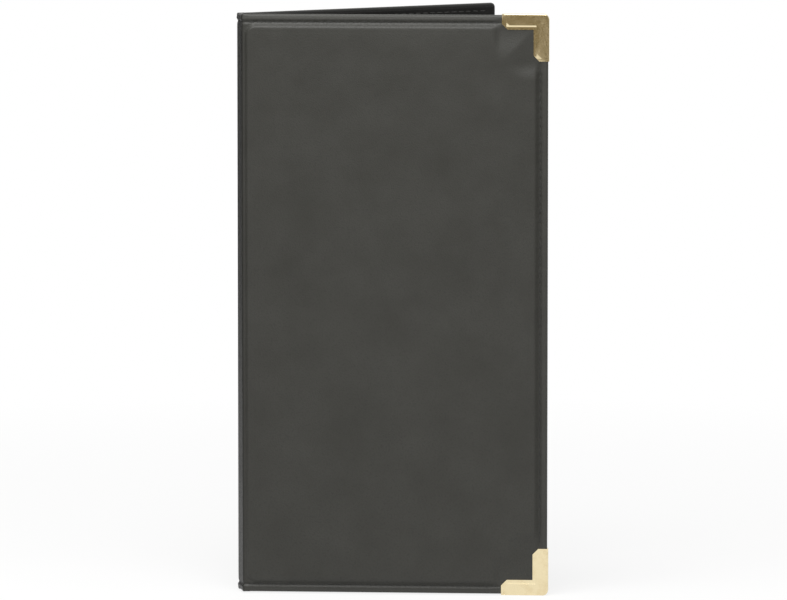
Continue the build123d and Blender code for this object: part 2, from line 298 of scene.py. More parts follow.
# two plies twisted together, drawn along each stitch
def threadMaterial(name, look):
    material, tree, shader = newMaterial(name)
    place = attribute(tree, "stitchPlace", "Vector")
    along, across = (addNode(tree, "ShaderNodeSeparateXYZ", {0: place}, axis) for axis in "XY")
    twist = mathNode(tree, "ADD", mathNode(tree, "MULTIPLY", along, look["turns"]),
                     mathNode(tree, "MULTIPLY", across, look["slant"]))
    ply = remap(tree, mathNode(tree, "SINE", twist), -1, 1, 0, 1)
    feed(tree, shader, {"Base Color": mixColour(tree, ply, look["dark"], look["light"]),
                        "Roughness": look["rough"],
                        "Normal": bumped(tree, ply, look["bump"], look["height"])})
    return material


# polished brass sheet with hairlines, handling marks and a thin tarnish
def brassMaterial(name, look):
    material, tree, shader = newMaterial(name)
    place = objectPlace(tree)
    drawn = addNode(tree, "ShaderNodeMapping", {"Vector": place, "Scale": (1.0, 1.0, look["drawn"])})
    hairlines = noiseNode(tree, drawn, look["hairline"], 2.0)
    tarnish = remap(tree, noiseNode(tree, place, look["marks"], 4.0), 0.45, 0.75, 0, look["tarnish"])
    rough = remap(tree, hairlines, 0.3, 0.7, look["rough"] - 0.03, look["rough"] + 0.04)
    rough = mathNode(tree, "ADD", rough, mathNode(tree, "MULTIPLY", tarnish, look["tarnishRough"]))
    feed(tree, shader, {"Base Color": mixColour(tree, tarnish, look["clean"], look["dull"]),
                        "Metallic": 1.0, "Roughness": rough,
                        "Normal": bumped(tree, hairlines, look["bump"], look["height"])})
    return material


# grey pulp board, speckled with fibres
def boardMaterial(name, look):
    material, tree, shader = newMaterial(name)
    pulp = noiseNode(tree, objectPlace(tree), look["fibre"], 6.0, 0.7)
    speckle = remap(tree, pulp, 0.35, 0.65, 0, 1)
    feed(tree, shader, {"Base Color": mixColour(tree, speckle, look["dark"], look["light"]),
                        "Roughness": look["rough"],
                        "Normal": bumped(tree, pulp, look["bump"], look["height"])})
    return material


coverLeather = leatherette("coverLeatherette", {
    "dark": (0.0315, 0.031, 0.026), "light": (0.041, 0.0405, 0.035), "deep": (0.020, 0.020, 0.018),
    # inside: the colour of the painted shade on the spine and on the fold's inner side
    "worn": (0.075, 0.075, 0.067), "inside": (0.006, 0.006, 0.005),
    "pebble": 0.62, "clouds": 24.0, "valley": 0.3, "bump": 0.55, "rough": 0.44, "specular": 0.35,
})
hingeLeather = leatherette("hingeLeatherette", {
    "dark": (0.022, 0.022, 0.020), "light": (0.030, 0.030, 0.028), "deep": (0.014, 0.014, 0.013),
    "worn": (0.05, 0.05, 0.046), "inside": (0.014, 0.014, 0.013),
    "pebble": 0.65, "clouds": 18.0, "valley": 0.5, "bump": 0.3, "rough": 0.5, "specular": 0.4,
})
# a near-black lining, its colour made darker still as painted shade for the inside between the open covers
liningLeather = leatherette("liningLeatherette", {
    "dark": (0.0088, 0.0088, 0.008), "light": (0.0125, 0.0125, 0.0115), "deep": (0.006, 0.006, 0.006),
    "worn": (0.028, 0.028, 0.026), "inside": (0.006, 0.006, 0.006),
    "pebble": 0.5, "clouds": 16.0, "valley": 0.4, "bump": 0.3, "rough": 0.52, "specular": 0.14,
})
pocketLeather = leatherette("pocketLeatherette", {
    "dark": (0.019, 0.019, 0.0175), "light": (0.026, 0.026, 0.024), "deep": (0.012, 0.012, 0.011),
    "worn": (0.05, 0.05, 0.046), "inside": (0.009, 0.009, 0.008),
    "pebble": 0.5, "clouds": 14.0, "valley": 0.4, "bump": 0.3, "rough": 0.45, "specular": 0.3,
})
seamThread = threadMaterial("seamThread", {
    "dark": (0.008, 0.008, 0.007), "light": (0.024, 0.024, 0.021), "turns": 9.0, "slant": 7.0,
    "rough": 0.6, "bump": 0.5, "height": 0.08,
})
brass = brassMaterial("brassSheet", {
    "clean": (0.85, 0.73, 0.47), "dull": (0.66, 0.50, 0.27), "rough": 0.13,
    "tarnish": 0.3, "tarnishRough": 0.25, "marks": 4.0,
    "hairline": 0.2, "drawn": 0.08, "bump": 0.06, "height": 0.02,
})
greyBoard = boardMaterial("greyBoard", {
    "dark": (0.14, 0.13, 0.11), "light": (0.22, 0.20, 0.17), "fibre": 0.6,
    "rough": 0.9, "bump": 0.3, "height": 0.1,
})
print("materials made")


seam = {
    "inset": 3.4,  # from the rim
    "pitch": 3.8,
    "length": 2.95,
    "width": 0.55,
    "rise": 0.26,
    "sunk": 0.42,  # how deep the thread pulls the sheet in
    "proud": 0.08,  # how far the thread's middle lies over the bottom of its groove
    "grooveWidth": 0.65,
    "pucker": 0.12,  # share of the depth that spreads round each needle hole
    "puckerWidth": 2.2,
    "runOver": 51.0,  # the head and foot grooves run on this far, over the crease and the spine
    "overSpine": 0.5,  # the share of the depth that is left there
    "start": 1.0,  # of the head and foot rows, from the crease
}
metal = {"leg": 20.6, "arm": 6.8, "bevel": 2.5, "sheet": 0.45, "clearance": 0.3}
seamU = coverWidth - seam["inset"]
seamV = coverHalf - seam["inset"]
metalReach = metal["leg"] - metal["sheet"] + metal["clearance"]


# the middles of the stitches along a row, centred on it
def stitchPlaces(start, end):
    start, end = np.array(start, float), np.array(end, float)
    length = np.linalg.norm(end - start)
    count = int((length - seam["pitch"] + seam["length"]) // seam["pitch"])
    steps = (np.arange(count) - (count - 1) / 2) * seam["pitch"]
    return (start + end) / 2 + steps[:, None] * (end - start) / length


# how far a cover's rows run: up to the brass on the front, round the corners on the back
def rowEnds(side):
    if side == front:
        return coverWidth - metalReach, coverHalf - metalReach
    return seamU, seamV


# the three outside rows of a cover: head, foot and fore-edge
def coverRows(side):
    stopU, stopV = rowEnds(side)
    return [((seam["start"], seamV), (stopU, seamV)), ((seam["start"], -seamV), (stopU, -seamV)),
            ((seamU, -stopV), (seamU, stopV))]


# how far places lie from a row of stitches, and how near a needle hole, which is 1
def besideRow(u, v, row, runOver=0.0):
    start, end = np.array(row[0], float), np.array(row[1], float)
    length = np.linalg.norm(end - start)
    lengthways = (end - start) / length
    first = stitchPlaces(start, end)[0]
    along = (u - start[0]) * lengthways[0] + (v - start[1]) * lengthways[1]
    away = np.abs((u - start[0]) * -lengthways[1] + (v - start[1]) * lengthways[0])
    beyond = np.maximum(0, np.maximum(-along - runOver, along - length))
    phase = ((u - first[0]) * lengthways[0] + (v - first[1]) * lengthways[1]) / seam["pitch"]
    return np.hypot(away, beyond), 0.5 - 0.5 * np.cos(2 * pi * phase)


# how far the seams pull the outer sheet in, deepest at the needle holes
def seamPull(u, v, side):
    pull = np.zeros_like(u)
    for row in coverRows(side):
        level = row[0][1] == row[1][1]
        offset, holes = besideRow(u, v, row, seam["runOver"] if level else 0.0)
        groove = np.exp(-(offset / seam["grooveWidth"]) ** 2) * (0.75 + 0.45 * holes)
        pucker = seam["pucker"] * np.exp(-(offset / seam["puckerWidth"]) ** 2) * holes
        pull = np.maximum(pull, seam["sunk"] * (groove + pucker))
    return pull * (seam["overSpine"] + (1 - seam["overSpine"]) * smooth((u + 1.5) / 2.5))


pad = {
    "start": 0.8,  # from the crease to the foot of the swelling
    "hem": 4.2,  # from the rim to the foot of the swelling
    "corner": 5.0,
    "height": 1.1,
    "shoulder": 1.7,  # width of the rise
    "pressed": 13.0,  # how far from a brass corner's inner edges the padding is still pressed down
    "beyondArm": 3.0,  # how many times sooner it recovers past the brass along the head and foot
    "beyondLeg": 1.6,  # the same along the fore-edge
    "unevenness": 0.07,
    "longWaves": 26.0,
    "shortWaves": 9.0,
}
fold = {
    "creaseRadius": 0.8,
    "rim": 1.5,  # how far the rounded rim reaches in from the outline
    "rimBulge": (0.28, 2.1, 0.8),  # height, middle from the outline, width
    "rimWear": (0.4, 1.0, 0.9),  # amount, middle from the outline, width
    "foldWear": 0.3,
    "roundness": (0.75, 0.85),  # powers that square the fold's section
    "flap": 2.4,  # from the outline to the inner end that the lining hides
    "cardEnd": (3.0, 0.4),  # where the fold over the spine card thins out, and over what width
    "turnStart": (0.5, 0.4),  # the same where the sheet is doubled again on the cover
    "boardStart": (-0.2, 0.5),  # the same before the board's wrapped end
    # how strong the painted shade on the spine is
    "spinePaintedShade": 0.6,
    "steps": 12,
}
sheetGrid = {
    "spineStep": 0.55,
    "creaseArcs": 8,
    "creaseReach": 7.0,
    "creaseStep": 0.32,
    "middleStep": 0.8,
    "edgeReach": 8.0,
    "edgeStep": 0.36,
    "rimReach": 0.8,
    "rimStep": 0.2,
    "ringStep": 0.5,  # what each ring of the fold takes up in the UV map
}
swell = {
    "grid": 1.9,  # half a stitch, so that the sheet is held at every hole and free between them
    "unit": 10.0,  # the simulation is made large, one unit for so many millimetres
    "pressure": 0.003,
    "frames": 20,
    "cap": 0.6,
    "start": 0.5,
}
turn = pi / 2 - halfOpening
tangent = fold["creaseRadius"] * tan(turn / 2)
overlap = skinFace * tan(turn / 2)  # from a crease's axis to where the two outer faces would meet


# height of the padded face over the hem
def padHeight(u, v, side):
    inside = insideRounded(u, v, pad["start"], coverWidth - pad["hem"], coverHalf - pad["hem"],
                           pad["corner"])
    rise = np.clip(inside / pad["shoulder"], 0, 1)
    height = pad["height"] * (0.75 * smooth(rise) + 0.25 * (1 - (1 - rise) ** 2))
    return height * pressedByBrass(u, v) if side == front else height


# 0 under the front's brass corners, which press the padding flat, and 1 away from them
def pressedByBrass(u, v):
    fromEdge, fromEnd = coverWidth - u, coverHalf - np.abs(v)
    arm = metal["arm"] - metal["sheet"]
    away = np.minimum(
        np.hypot(np.maximum(fromEdge - metalReach, 0) * pad["beyondArm"], np.maximum(fromEnd - arm, 0)),
        np.hypot(np.maximum(fromEdge - arm, 0), np.maximum(fromEnd - metalReach, 0) * pad["beyondLeg"]),
    )
    return smooth(away / pad["pressed"])


# a cloth simulation: held at its needle holes and at the crease, the sheet swells over the foam
def swellHeights(side):
    us, vs = lines(swell["start"], (seamU, swell["grid"])), lines(-seamV, (seamV, swell["grid"]))
    u, v = np.meshgrid(us, vs, indexing="ij")
    held = (u == us[0]) | ((u == us[-1]) & (np.arange(len(vs)) % 2 == 0))
    held |= ((v == vs[0]) | (v == vs[-1])) & (np.arange(len(us)) % 2 == 0)[:, None]
    points = np.stack([u, v, np.zeros_like(u)], -1).reshape(-1, 3) / swell["unit"]
    mesh = bpy.data.meshes.new("swelling")
    mesh.from_pydata(points.tolist(), [], gridFaces(*u.shape, False).tolist())
    sheet = addObject("swelling", mesh)
    sheet.vertex_groups.new(name="held").add(np.flatnonzero(held.ravel()).tolist(), 1.0, "REPLACE")
    cloth = sheet.modifiers.new("swelling", "CLOTH")
    cloth.settings.vertex_group_mass = "held"
    cloth.settings.use_pressure = True
    cloth.settings.uniform_pressure_force = swell["pressure"]
    cloth.settings.effector_weights.gravity = 0
    cloth.collision_settings.use_collision = False
    cloth.point_cache.frame_start, cloth.point_cache.frame_end = 1, swell["frames"]
    for step in range(1, swell["frames"] + 1):
        scene.frame_set(step)
    swollen = sheet.evaluated_get(bpy.context.evaluated_depsgraph_get()).data
    found = np.zeros(len(points) * 3)
    swollen.vertices.foreach_get("co", found)
    heights = found.reshape(-1, 3)[:, 2].reshape(u.shape) * swell["unit"]
    print("swelling simulated:", round(heights.min(), 3), "to", round(heights.max(), 3), "mm")
    bpy.data.objects.remove(sheet)
    scene.frame_set(1)
    return us, vs, np.clip(heights, 0, swell["cap"])


# the simulated height at places between the simulation's grid lines
def betweenHeights(grid, u, v):
    us, vs, heights = grid
    a = np.clip((u - us[0]) / (us[-1] - us[0]), 0, 1) * (len(us) - 1)
    b = np.clip((v - vs[0]) / (vs[-1] - vs[0]), 0, 1) * (len(vs) - 1)
    i, j = np.minimum(a.astype(int), len(us) - 2), np.minimum(b.astype(int), len(vs) - 2)
    a, b = smooth(a - i), smooth(b - j)
    low = heights[i, j] * (1 - b) + heights[i, j + 1] * b
    high = heights[i + 1, j] * (1 - b) + heights[i + 1, j + 1] * b
    return low * (1 - a) + high * a


# the outer sheet's stations across, from the spine's middle round the crease to a cover's rim:
# a base point (x, q), the outward normal's angle, u for the seams, and the depth of the fold there
def acrossStations():
    grid, skin = sheetGrid, sheets["skin"]
    spineFlat = spineHalf + overlap - tangent
    onSpine = lines(0.0, (spineFlat, grid["spineStep"]))
    onArc = np.linspace(0, turn, grid["creaseArcs"] + 1)[1:-1]
    onCover = lines(tangent - overlap, (grid["creaseReach"], grid["creaseStep"]),
                    (coverWidth - grid["edgeReach"], grid["middleStep"]),
                    (coverWidth - fold["rim"] - grid["rimReach"], grid["edgeStep"]),
                    (coverWidth - fold["rim"], grid["rimStep"]))
    arcStart = tangent - overlap - fold["creaseRadius"] * turn
    cardDepth, boardDepth = skinFace - spineBack, skinFace - turnInBack

    def past(places, step, middle=0.0):
        return smooth((places - middle - step[0]) / step[1])

    return {
        "x": np.concatenate([np.full(len(onSpine), creaseX - skinFace),
                             creaseX - skinFace + fold["creaseRadius"] * (1 - np.cos(onArc)),
                             creaseX - skinFace * sinHalf + onCover * cosHalf]),
        "q": np.concatenate([onSpine, spineFlat + fold["creaseRadius"] * np.sin(onArc),
                             spineHalf + skinFace * cosHalf + onCover * sinHalf]),
        "angle": np.concatenate([np.zeros(len(onSpine)), onArc, np.full(len(onCover), turn)]),
        "u": np.concatenate([onSpine - spineFlat + arcStart, onArc * fold["creaseRadius"] + arcStart,
                             onCover]),
        "depth": np.concatenate([
            cardDepth - (cardDepth - skin) * past(onSpine, fold["cardEnd"]),
            np.full(len(onArc), skin),
            skin * (1 + past(onCover, fold["turnStart"]))
            + (boardDepth - 2 * skin) * past(onCover, fold["boardStart"], sheets["stripStart"]),
        ]),
        "spineEnd": len(onSpine) - 1,
        "coverStart": len(onSpine) + len(onArc),
    }


def upStations():
    rimEnd, grid = coverHalf - fold["rim"], sheetGrid
    return lines(-rimEnd, (-rimEnd + grid["rimReach"], grid["rimStep"]),
                 (-coverHalf + grid["edgeReach"], grid["edgeStep"]),
                 (coverHalf - grid["edgeReach"], grid["middleStep"]),
                 (rimEnd - grid["rimReach"], grid["edgeStep"]), (rimEnd, grid["rimStep"]))


# the grid with its two free corners rounded, which points are on the curves, and their way outwards
def roundCorners(u, v):
    small = sheets["corner"] - fold["rim"]
    cornerU, cornerV = coverWidth - fold["rim"] - small, coverHalf - fold["rim"] - small
    a = np.clip((u - cornerU) / small, 0, None)
    b = np.clip((np.abs(v) - cornerV) / small, 0, None)
    curved = (a > 0) & (b > 0)
    squeeze = np.where(curved, np.maximum(a, b) / np.maximum(np.hypot(a, b), 1e-9), 1)
    outU, outV = np.where(curved, a * squeeze, 0), np.where(curved, b * squeeze, 0)
    u = np.where(curved, cornerU + outU * small, u)
    v = np.where(curved, np.sign(v) * (cornerV + outV * small), v)
    return u, v, curved, np.stack([outU, np.sign(v) * outV], -1)


# how far the outer sheet stands over its plain level
def sheetHeight(side, u, v, fromRim):
    high, middle, width = fold["rimBulge"]
    bulge = high * np.exp(-((fromRim - middle) / width) ** 2)
    swollen = betweenHeights(swellHeights(side), u, v)
    if side == front:
        swollen *= pressedByBrass(u, v)
        bulge *= pressedByBrass(u, v)
    height = padHeight(u, v, side) + swollen + bulge - seamPull(u, v, side)
    uneven = waves(u, v, pad["longWaves"], 3 + side) + 0.5 * waves(u, v, pad["shortWaves"], 7 + side)
    return height + pad["unevenness"] * uneven * smooth((u - pad["start"]) / 2)


# the grid's free edge, from the spine's foot round the cover to the spine's head
def freeEdge(rows, columns):
    path = [(i, 0) for i in range(rows)] + [(rows - 1, j) for j in range(1, columns)]
    path += [(i, columns - 1) for i in range(rows - 2, -1, -1)]
    return np.array(path).T


def outerSheet(side, name):
    rim, at = fold["rim"], acrossStations()
    u, v, curved, radial = roundCorners(*np.meshgrid(at["u"], upStations(), indexing="ij"))
    rows, columns = u.shape
    fromRim = np.minimum(coverWidth - u, coverHalf - np.abs(v))
    height = sheetHeight(side, u, v, fromRim)
    rubbed, middle, width = fold["rimWear"]
    wear = np.exp(-((fromRim - middle) / width) ** 2) * rubbed
    # painted shade: the spine darkened, fading out just past the crease
    paintedShade = fold["spinePaintedShade"] * (1 - smooth((u + 0.5) / 1.5))

    flatCover = np.arange(rows) >= at["coverStart"]
    x = np.where(flatCover[:, None], creaseX - skinFace * sinHalf + u * cosHalf, at["x"][:, None])
    q = np.where(flatCover[:, None], spineHalf + skinFace * cosHalf + u * sinHalf, at["q"][:, None])
    nx, nq = -np.cos(at["angle"]), np.sin(at["angle"])
    points = np.stack([x + height * nx[:, None], side * (q + height * nq[:, None]), middleZ + v], -1)
    uvs = sheetUv(u, v)
    faces = gridFaces(rows, columns, side == back)

    # the rim: rings that leave the grid's edge, go round the fold and in under the lining
    i, j = freeEdge(rows, columns)
    outward = np.zeros((len(i), 2))
    outward[j == 0, 1] = -1
    outward[j == columns - 1, 1] = 1
    outward[i == rows - 1] = (1, 0)
    onCurve = curved[i, j]
    outward[onCurve] = radial[i, j][onCurve] / np.linalg.norm(radial[i, j][onCurve], axis=1)[:, None]
    allPoints, allUvs = [points.reshape(-1, 3)], [uvs.reshape(-1, 2)]
    allWear, allPaintedShade = [wear.ravel()], [paintedShade.ravel()]
    previous = i * columns + j
    count = rows * columns
    rings = [(phi, None) for phi in np.linspace(0, pi, fold["steps"] + 1)[1:]]
    rings += [(pi, inset) for inset in (0.5, fold["flap"] - rim)]
    square, squareDrop = fold["roundness"]
    cornerLimit = rim - sheets["corner"] + 0.05  # the flap stops short of a corner's centre
    for number, (phi, inset) in enumerate(rings, 1):
        reach = rim * max(sin(phi), 0) ** square if inset is None else -inset
        reaches = np.where(onCurve & (reach < cornerLimit), cornerLimit, reach)
        drop = at["depth"][i] / 2 * (1 - np.sign(cos(phi)) * abs(cos(phi)) ** squareDrop)
        level = height[i, j] * max(cos(phi / 2), 0) ** 4 - drop
        move = outward * reaches[:, None]
        ringX = x[i, j] + move[:, 0] * np.where(flatCover[i], cosHalf, 0) + level * nx[i]
        ringQ = q[i, j] + move[:, 0] * np.where(flatCover[i], sinHalf, 0) + level * nq[i]
        allPoints.append(np.stack([ringX, side * ringQ, middleZ + v[i, j] + move[:, 1]], -1))
        allUvs.append(uvs[i, j] + outward * number * sheetGrid["ringStep"])
        allWear.append(np.full(len(i), fold["foldWear"] if phi < pi / 2 else 0.0))
        # painted shade on the fold's inner side and on the turned-in flap
        allPaintedShade.append(np.maximum(paintedShade[i, j], smooth((phi - 1.8) / 0.8)))
        here = count + np.arange(len(i))
        quads = np.stack([previous[:-1], here[:-1], here[1:], previous[1:]], -1)
        faces = np.concatenate([faces, quads[:, ::-1] if side == back else quads])
        previous = here
        count += len(i)
    piece = newPiece(name, np.concatenate(allPoints) * mm, faces, coverLeather, np.concatenate(allUvs),
                     {"wear": np.concatenate(allWear), "paintedShade": np.concatenate(allPaintedShade)})
    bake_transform(piece)
    return piece


frontSheet = outerSheet(front, "frontSheet")
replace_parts(frontSheet, "front_leatherette", "front_padding", "spine_leatherette")
backSheet = outerSheet(back, "backSheet")
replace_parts(backSheet, "back_leatherette", "back_padding")
print("outer sheets made:", len(frontSheet.data.polygons), "faces on the front")


softEdge = {"width": 0.12, "segments": 3, "angle": 18.0}
# a flat rim along the inner edges, then a step up to the face
pressed = {"rim": 1.2, "line": 1.9, "drop": 0.3, "faceOver": 0.45}
metalTop = skinFace + metal["sheet"]
alongFront, outOfFront = Vector((cosHalf, -sinHalf, 0)), Vector((-sinHalf, -cosHalf, 0))
frontAxis = Vector((creaseX, -spineHalf, middleZ)) * mm
metalEdgeU, metalEdgeV = coverWidth + metal["sheet"], coverHalf + metal["sheet"]
metalSlant = metal["leg"] + metal["arm"] - metal["bevel"]  # p + r along the slanted ends


# how far a place on a corner's face lies from the inner edges; p and r run in from the outer edges
def fromInnerEdge(p, r):
    slanted = (metalSlant - p - r) / sqrt(2)
    leg = min(metal["arm"] - p, metal["leg"] - r, slanted)
    arm = min(metal["arm"] - r, metal["leg"] - p, slanted)
    return max(leg, arm)


# the frame's folded corner, with a line pressed into its face beside the inner edges
def brassCorner(node, name, end):
    mesh = frame["nodes"][node].data.copy()
    shell = bmesh.new()
    shell.from_mesh(mesh)
    bmesh.ops.remove_doubles(shell, verts=shell.verts, dist=0.002 * mm)
    bmesh.ops.dissolve_limit(shell, angle_limit=radians(1.5), verts=shell.verts, edges=shell.edges)
    upwards = Vector((0, 0, end))

    def cut(direction, place):
        low = pressed["faceOver"] * mm
        faces = [f for f in shell.faces if all((v.co - frontAxis).dot(outOfFront) > low for v in f.verts)]
        parts = set(faces) | {e for f in faces for e in f.edges} | {v for f in faces for v in f.verts}
        bmesh.ops.bisect_plane(shell, geom=list(parts), dist=0.001 * mm, plane_co=place,
                               plane_no=direction)

    for inset in (pressed["rim"], pressed["line"]):
        for reach in (metal["arm"] - inset, metal["leg"] - inset):
            cut(alongFront, frontAxis + alongFront * (metalEdgeU - reach) * mm)
            cut(upwards, frontAxis + upwards * (metalEdgeV - reach) * mm)
        half = (metalSlant - inset * sqrt(2)) / 2
        cut((alongFront + upwards).normalized(),
            frontAxis + (alongFront * (metalEdgeU - half) + upwards * (metalEdgeV - half)) * mm)
    for vert in shell.verts:
        place = (vert.co - frontAxis) / mm
        p, r = metalEdgeU - place.dot(alongFront), metalEdgeV - place.dot(upwards)
        level = place.dot(outOfFront)
        onFace = level > metalTop - pressed["drop"] - 0.01
        if onFace and min(p, r) > metal["sheet"] - 0.07:  # not round the outer folds
            rise = (fromInnerEdge(p, r) - pressed["rim"]) / (pressed["line"] - pressed["rim"])
            wanted = metalTop - pressed["drop"] * (1 - min(max(rise, 0), 1))
            vert.co += outOfFront * (wanted - level) * mm
    bmesh.ops.dissolve_limit(shell, angle_limit=radians(1.0), verts=shell.verts, edges=shell.edges)
    shell.to_mesh(mesh)
    shell.free()
    mesh.materials.clear()
    mesh.materials.append(brass)
    mesh.polygons.foreach_set("use_smooth", [True] * len(mesh.polygons))
    piece = addObject(name, mesh)
    bevel = piece.modifiers.new("edges", "BEVEL")
    bevel.width = softEdge["width"] * mm
    bevel.segments = softEdge["segments"]
    bevel.limit_method = "ANGLE"
    bevel.angle_limit = radians(softEdge["angle"])
    flat = piece.modifiers.new("flatFaces", "WEIGHTED_NORMAL")
    flat.mode = "FACE_AREA_WITH_ANGLE"
    flat.weight = 100
    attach(piece, "front_cover")
    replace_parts(piece, node)
    return piece


brassCorner("head_corner", "headCorner", 1)
brassCorner("foot_corner", "footCorner", -1)
print("brass corners made")


strip = {
    "over": 0.12,  # how far the inner strips stand over the turned-in rims
    "thickness": 0.3,
    "rowStep": 3.0,
}
spineOver, boardOver = spineBack - strip["over"], turnInBack - strip["over"]
boardU = sheets["stripStart"]
# a strip's section: (q, w) from the spine's middle into the crease, then (u, w) round the board's end
stripOnSpine = [(0, spineOver), (1.6, spineOver), (2.8, spineOver), (3.08, spineOver + 0.3),
                (3.1, -1.2), (3.25, -0.62), (3.8, -0.5)]
stripOnCover = [(0.35, -0.62), (0.9, -1.0), (1.6, -1.08), (boardU - 0.35, -1.1), (boardU - 0.04, -1.4),
                (boardU, turnInBack + 0.35), (boardU + 0.25, boardOver + 0.02), (boardU + 1.0, boardOver),
                (liningStart + 3, turnInBack - strip["over"] / 2)]


# a smooth curve through places, with three more between each two
def curveThrough(places):
    found = []
    for k in range(len(places) - 1):
        before, a, b = places[max(k - 1, 0)], places[k], places[k + 1]
        after = places[min(k + 2, len(places) - 1)]
        for t in (0.0, 0.25, 0.5, 0.75):
            bend = 2 * before - 5 * a + 4 * b - after + t * (3 * (a - b) + after - before)
            found.append(a + 0.5 * t * (b - before + t * bend))
    return np.array(found + [places[-1]])


# one inner strip from the spine's middle, down into the crease, round the board's end and over it
def hingeStrip(side, name):
    def onSpine(q, w):
        return np.array([creaseX - w, q])

    def onCover(u, w):
        return np.array([creaseX + u * cosHalf - w * sinHalf, spineHalf + u * sinHalf + w * cosHalf])

    section = curveThrough([onSpine(*place) for place in stripOnSpine]
                           + [onCover(*place) for place in stripOnCover])
    up = lines(-liningHalf, (liningHalf, strip["rowStep"]))
    grid = np.broadcast_arrays(section[:, :1], side * section[:, 1:], middleZ + up)
    run = np.concatenate([[0], np.cumsum(np.linalg.norm(np.diff(section, axis=0), axis=1))])
    piece = newPiece(name, np.stack(grid, -1) * mm, gridFaces(len(section), len(up), side == front),
                     hingeLeather, sheetUv(run[:, None], up), {"wear": np.zeros(grid[0].shape)})
    solidify(piece, strip["thickness"])
    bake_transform(piece)
    return piece


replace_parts(hingeStrip(front, "frontHingeStrip"), "front_hinge_strip", "spine_hinge_strip")
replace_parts(hingeStrip(back, "backHingeStrip"), "back_hinge_strip")


liningCloth = {"material": liningLeather, "slot": "lining_leatherette", "thickness": 0.35}
pocketCloth = {"material": pocketLeather, "slot": "pocket_leatherette", "thickness": 0.4}


# a thin sheet on the inside of a cover, whose face lies at a level over each (u, v)
def innerSheet(side, name, node, cloth, u, v, level, wear=None):
    values = {"wear": np.zeros(u.shape) if wear is None else wear}
    faces = gridFaces(*u.shape, side == front)
    piece = newPiece(name, placeOnCover(side, u, v, level), faces, cloth["material"], sheetUv(u, v), values)
    solidify(piece, cloth["thickness"])
    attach(piece, bodyOf(side))
    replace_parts(piece, node)


dimple = {"depth": 0.12, "width": 0.6}  # what a row of stitches leaves in an inner sheet
ledge = {
    "corner": 2.0,
    "step": (-0.5, 1.4),  # where the lining starts to sink over the board's middle, and over what width
    "soft": 0.04,
    "softSize": 20.0,
    "softEdge": 5.0,
}
liningGrid = {"fine": 0.6, "pastLedge": 2.0, "across": 1.6, "up": 0.8}
ledgeLow, ledgeHigh = sheets["stripStart"] + sheets["turnIn"], coverWidth - sheets["turnIn"]
ledgeHalf = coverHalf - sheets["turnIn"]


def seamDimples(u, v, rows):
    total = np.zeros(u.shape)
    for row in rows:
        offset, holes = besideRow(u, v, row)
        total += dimple["depth"] * np.exp(-(offset / dimple["width"]) ** 2) * (0.8 + 0.4 * holes)
    return total


def lining(side):
    fine, past = liningGrid["fine"], liningGrid["pastLedge"]
    us = lines(liningStart, (ledgeLow + past, fine), (ledgeHigh - past, liningGrid["across"]),
               (liningEnd, fine))
    vs = lines(-liningHalf, (-ledgeHalf + past, fine), (ledgeHalf - past, liningGrid["up"]),
               (liningHalf, fine))
    u, v = np.meshgrid(us, vs, indexing="ij")
    inside = insideRounded(u, v, ledgeLow, ledgeHigh, ledgeHalf, ledge["corner"])
    sunk = smooth((inside - ledge["step"][0]) / ledge["step"][1]) * (liningBack - liningFace)
    soft = ledge["soft"] * waves(u, v, ledge["softSize"], 11 + side) * smooth(inside / ledge["softEdge"])
    level = liningFace + sunk + seamDimples(u, v, innerRows(side)["lining"]) + soft
    word = wordOf(side)
    innerSheet(side, word + "Lining", word + "_lining", liningCloth, u, v, level)


pockets = {
    "billHeight": 108.0,  # from the foot of the cover
    "checkHeight": 132.0,
    "notch": 13.0,
    "cardWidth": 97.0,
    "cardHeight": 58.0,
    "cardFoot": 15.0,
    "cardMargin": 4.0,
    "cardRoom": 0.8,
    "cardRise": (-0.6, 1.4),  # where the card pocket starts to rise beside its margin, and over what width
    "seamInset": 2.2,
    "gape": 0.5,  # how far a mouth stands off in its middle
    "gapeReach": 45.0,  # how far below the mouth it starts to
    "mouthWear": (0.5, 0.9),  # amount and width
    "edgeBand": 5.0,  # how far the fine part of the mesh reaches in from an edge
    "mouthBand": 35.0,  # how far below the mouth the mesh bends round the notch
}
billMouth = -coverHalf + pockets["billHeight"]
checkMouth = -coverHalf + pockets["checkHeight"]
cardMiddle = (liningStart + liningEnd) / 2
cardLow, cardHigh = cardMiddle - pockets["cardWidth"] / 2, cardMiddle + pockets["cardWidth"] / 2
cardFoot = -coverHalf + pockets["cardFoot"]
cardMouth = cardFoot + pockets["cardHeight"]


# rows of stitches on the inside, by the sheet whose face they lie on
def innerRows(side):
    stopU, stopV = rowEnds(side)
    mouth = billMouth if side == front else checkMouth
    creaseU = liningStart + pockets["seamInset"]
    mouthV = mouth - pockets["seamInset"]
    rows = {
        "lining": [((liningStart, seamV), (stopU, seamV)), ((seamU, mouth), (seamU, stopV))],
        "pocket": [((liningStart, -seamV), (stopU, -seamV)), ((seamU, -stopV), (seamU, mouth))],
        "own": [((creaseU, -seamV), (creaseU, mouthV))],
    }
    if side == front:
        rows["own"].append(((creaseU, mouthV), (seamU, mouthV)))
    else:
        edge = pockets["notch"] + pockets["seamInset"]
        rows["own"] += [((creaseU, mouthV), (cardMiddle - edge, mouthV)),
                        ((cardMiddle + edge, mouthV), (seamU, mouthV))]
    return rows


# a mouth stands off a little in its middle
def gapeAt(u, v, mouth, low, high):
    across = np.clip((u - low) / (high - low), 0, 1)
    reach = pockets["gapeReach"]
    return pockets["gape"] * np.sin(pi * across) ** 2 * smooth((v - mouth + reach) / reach)


def mouthWear(below):
    amount, width = pockets["mouthWear"]
    return amount * np.exp(-(below / width) ** 2)


